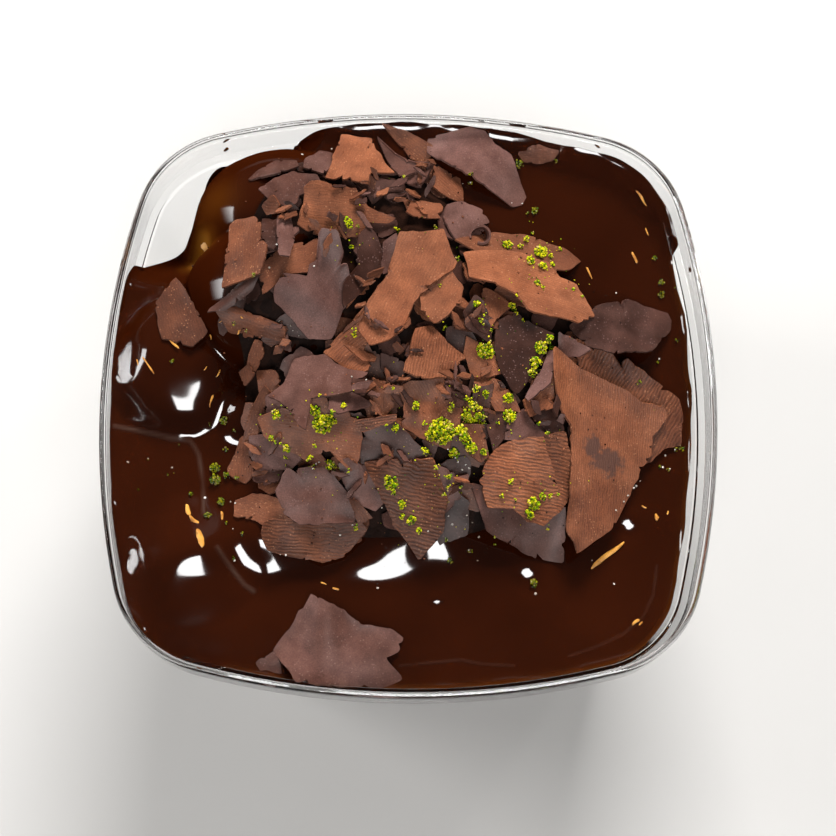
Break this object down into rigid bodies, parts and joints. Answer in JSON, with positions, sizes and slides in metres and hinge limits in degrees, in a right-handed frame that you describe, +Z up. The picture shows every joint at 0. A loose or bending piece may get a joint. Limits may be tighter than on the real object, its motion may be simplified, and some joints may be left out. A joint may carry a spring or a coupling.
{
  "type": "cup of profiteroles",
  "caption": "Clear square plastic cup of profiteroles in chocolate sauce, heaped with curled chocolate shavings and a little chopped pistachio.",
  "frame": {"origin": "centre of the cup's base, on the surface it stands on", "axes": "+Z up, -Y towards the side it is seen from, +X to that viewer's right"},
  "size_m": [0.11, 0.11, 0.0745],
  "materials": {
    "clear_plastic": "clear, glossy moulded plastic",
    "chocolate_sauce": "very glossy dark brown sauce",
    "coated_choux": "choux pastry under glossy chocolate sauce",
    "chocolate_shavings": "satin milk-brown and dark shavings",
    "pistachio": "rough chopped green nut"
  },
  "bodies": {
    "root": {"cup": "clear_plastic", "chocolate_sauce": "chocolate_sauce", "profiterole_top_left": "coated_choux", "profiterole_left": "coated_choux", "profiterole_far_left": "coated_choux", "profiterole_front_left": "coated_choux", "chocolate_shavings": "chocolate_shavings", "shaving_front": "chocolate_shavings", "shaving_left": "chocolate_shavings", "shaving_far": "chocolate_shavings", "shaving_far_right": "chocolate_shavings"}
  },
  "joints": []
}
